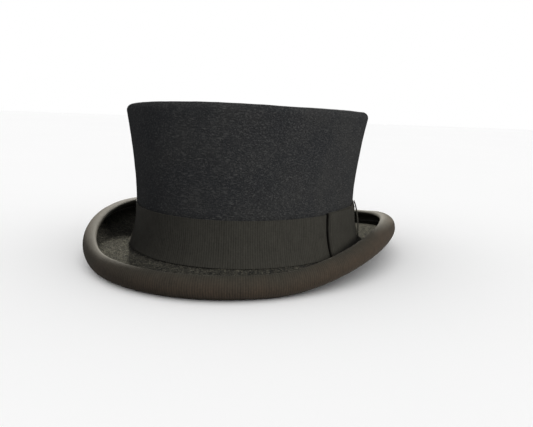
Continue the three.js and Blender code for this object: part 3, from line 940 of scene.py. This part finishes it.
def lining_tip():
    """The satin oval, which droops a little in its middle and is gathered at its edge."""
    t = angles_round(360)[:, None]
    shrink = np.linspace(0, 1, 46)[None] ** 0.8
    top = top_height(t)
    z = mix(crown.centre_height, top, shrink ** 2) - FELT - lining.tip_drop
    u = share_round(t)
    gather = 0.5 * MM * lumps(u, shrink * 0.999, (90, 2), 71) * shrink ** 6
    droop = 1.6 * MM * (1 - shrink ** 2)
    droop = droop + 0.4 * MM * lumps(u, shrink * 0.999, (7, 3), 72) * np.sin(shrink * np.pi)
    d = wall_out(t, top) - crown.edge_radius - FELT + 0 * shrink
    level = z - droop + gather
    front = place(t, d, level, shrink)
    back = place(t, d, level - SATIN, shrink)
    made = slab("lining_crown", front, back, True, lining_satin)
    merge_points(made)
    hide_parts("lining_tip")


def lining_seam_cord():
    """A satin-covered cord, puckered where its seam is gathered."""
    t = angles_from_seam(seam_cord.seam, 1100)
    z = top_height(t) - seam_cord.drop
    centres = place(t, wall_out(t, z) - FELT + seam_cord.offset, z)
    pucker = 0.07 * lumps(share_round(t), np.zeros(len(t)), (420, 1), 81)
    rings = tube_rings(centres, seam_cord.radius * (1 + pucker), CORD_SIDES)
    faces = tube_faces(len(t), CORD_SIDES, 0)
    made = piece("lining_piping", rings.reshape(-1, 3), faces, lining_satin)
    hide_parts("lining_seam_cord")


# ---- The hat ------------------------------------------------------------------------

felt_body()
rim_ribbon = brim_binding()
binding_stitches()
hat_band()
side_bow()
sweatband()
sweatband_stitches()
sweatband_reed_tape()
sweatband_joint()
back_bow()
lining_side()
lining_tip()
lining_seam_cord()

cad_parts["sweatband_reed"].data.materials.clear()
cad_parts["sweatband_reed"].data.materials.append(plastic)

# ---- Floor, light and camera --------------------------------------------------------


def floor():
    half = 6.0
    corners = [(-half, -half, 0), (half, -half, 0), (half, half, 0), (-half, half, 0)]
    mesh = bpy.data.meshes.new("floor")
    mesh.from_pydata(corners, [], [(0, 1, 2, 3)])
    made = bpy.data.objects.new("floor", mesh)
    bpy.context.scene.collection.objects.link(made)
    look = Look("pale_floor", 0.9, Specular_IOR_Level=0.1)
    clouds = look.noise(look.place(), 3, 2)
    mesh.materials.append(look.finish(look.ramp(clouds, (0.3, 0.955), (0.7, 0.965))))
    return made


def from_hat(azimuth, elevation, distance):
    """A place seen from the hat at an azimuth from +Y towards -X."""
    level = math.cos(elevation) * distance
    height = math.sin(elevation) * distance
    return Vector((-math.sin(azimuth) * level, math.cos(azimuth) * level, height))


def area_light(name, azimuth, elevation, size, watts, colour):
    """A round light that looks at the hat's middle."""
    light = bpy.data.lights.new(name, "AREA")
    light.shape = "DISK"
    light.size = size
    light.energy = watts
    light.color = colour
    made = bpy.data.objects.new(name, light)
    bpy.context.scene.collection.objects.link(made)
    made.location = from_hat(azimuth, elevation, LIGHT_DISTANCE)
    made.rotation_euler = (made.location - Vector((0, 0, 50 * MM))).to_track_quat("Z", "Y").to_euler()
    return made


def link_light(light, pieces, state):
    """Keeps a light to the given pieces, or keeps it off them."""
    group = bpy.data.collections.new(light.name + "_pieces")
    for made in pieces:
        group.objects.link(made)
    light.light_linking.receiver_collection = group
    for entry in group.collection_objects:
        entry.light_linking.link_state = state


def lights(ground, rim):
    """A white room, a low light behind the hat's right, one at its front left, and a rim light."""
    back = area_light("back_light", 24 * DEG, 21 * DEG, 0.22, 520, (1, 0.97, 0.88))
    front = area_light("front_light", 238 * DEG, 30 * DEG, 0.6, 90, (1, 0.97, 0.9))
    edge = area_light("rim_light", 24 * DEG, 27 * DEG, 0.8, 270, (1, 0.96, 0.86))
    link_light(back, [ground, rim], "EXCLUDE")
    link_light(front, [ground], "EXCLUDE")
    link_light(edge, [rim], "INCLUDE")
    world = bpy.data.worlds.new("studio")
    bpy.context.scene.world = world
    world.use_nodes = True
    world.node_tree.nodes["Background"].inputs[0].default_value = (1, 1, 1, 1)


def camera():
    """Stands at the hat's front left, a little above its middle, and is turned slightly off it."""
    azimuth, elevation, distance = 17.1 * DEG, 5.7 * DEG, 480 * MM
    yaw, pitch, tilt = 1.9 * DEG, -4.6 * DEG, 1.6 * DEG
    aim = Vector((0, 0, 66 * MM))
    back = Vector((
        math.sin(azimuth) * math.cos(elevation),
        -math.cos(azimuth) * math.cos(elevation),
        math.sin(elevation),
    ))
    right = Vector((0, 0, 1)).cross(back).normalized()
    ahead = (right * math.tan(yaw) + back.cross(right) * math.tan(pitch) - back).normalized()
    right = ahead.cross(back.cross(right)).normalized()
    turned = Matrix((right, right.cross(ahead), -ahead)).transposed()
    data = bpy.data.cameras.new("camera")
    data.lens = 38.38
    made = bpy.data.objects.new("camera", data)
    bpy.context.scene.collection.objects.link(made)
    made.matrix_world = (
        Matrix.Translation(aim + back * distance) @ (turned @ Matrix.Rotation(tilt, 3, "Z")).to_4x4()
    )
    bpy.context.scene.camera = made


lights(floor(), rim_ribbon)
camera()
bpy.context.scene.view_settings.view_transform = "Standard"

bpy.context.view_layer.update()
